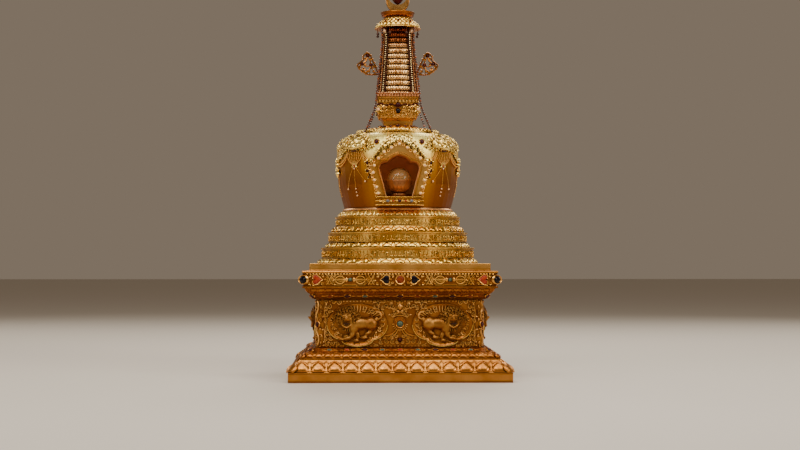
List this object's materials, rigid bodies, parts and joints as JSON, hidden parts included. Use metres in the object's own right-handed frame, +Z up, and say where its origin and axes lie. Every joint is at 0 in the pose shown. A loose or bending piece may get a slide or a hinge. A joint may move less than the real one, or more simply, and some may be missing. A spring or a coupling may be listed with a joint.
{
  "type": "reliquary stupa",
  "caption": "Gilt reliquary stupa with a square lion throne, round lotus tiers, a bell dome with a relic niche, a ringed spire, an umbrella and a crescent finial.",
  "frame": {"origin": "centre of the foot's underside, on the floor", "axes": "+Z up, -Y toward the front with the niche, +X to the right seen from the front"},
  "size_m": [0.784, 0.784, 1.465],
  "materials": {
    "gilt_throne": "warm brownish gilding, dark in the hollows",
    "gilt_petal": "bright burnished gilding",
    "gilt_relief": "chased gilding, dark in the hollows",
    "gilt_dome": "smooth deep orange gilding",
    "gilt_spire": "pale satin gilding",
    "red_gilt": "red-brown varnish over gilding",
    "garnet": "polished dark red cabochon",
    "coral": "polished coral red cabochon",
    "turquoise": "polished turquoise cabochon",
    "sapphire": "polished dark blue cabochon",
    "pearl": "pinkish white pearl lustre",
    "crystal": "clear polished crystal",
    "chain": "dark polished beads on gilt links"
  },
  "bodies": {
    "root": {"foot_slab": "gilt_throne", "foot_slope": "gilt_throne", "lower_lotus_band": "gilt_petal", "lower_gem_band": "gilt_throne", "throne_core": "gilt_throne", "throne_panel_front": "gilt_throne", "throne_panel_right": "gilt_throne", "throne_panel_back": "gilt_throne", "throne_panel_left": "gilt_throne", "cornice_gem_band": "gilt_throne", "cornice_cove": "gilt_petal", "frieze": "gilt_throne", "throne_top_slab": "gilt_throne", "lotus_ring_1": "gilt_petal", "tier_1": "gilt_relief", "lotus_ring_2": "gilt_petal", "tier_2": "gilt_relief", "lotus_ring_3": "gilt_petal", "tier_3": "gilt_relief", "lotus_ring_4": "gilt_petal", "dome_seat": "gilt_throne", "dome": "gilt_dome", "niche_frame": "gilt_petal", "niche_sill": "gilt_petal", "relic_bowl": "gilt_relief", "crystal_dome": "crystal", "mask_front_right": "gilt_petal", "mask_back_right": "gilt_petal", "mask_back_left": "gilt_petal", "mask_front_left": "gilt_petal", "dome_plate": "gilt_petal", "gem_crown": "gilt_relief", "harmika_neck": "gilt_relief", "harmika": "gilt_relief", "spire_rings": "gilt_spire", "ear_left": "gilt_petal", "ear_right": "gilt_petal", "umbrella": "gilt_relief", "upper_bowl": "red_gilt", "crescent": "gilt_petal", "flame_jewel": "garnet", "chain_front_right": "chain", "chain_back_right": "chain", "chain_back_left": "chain", "chain_front_left": "chain"}
  },
  "joints": []
}
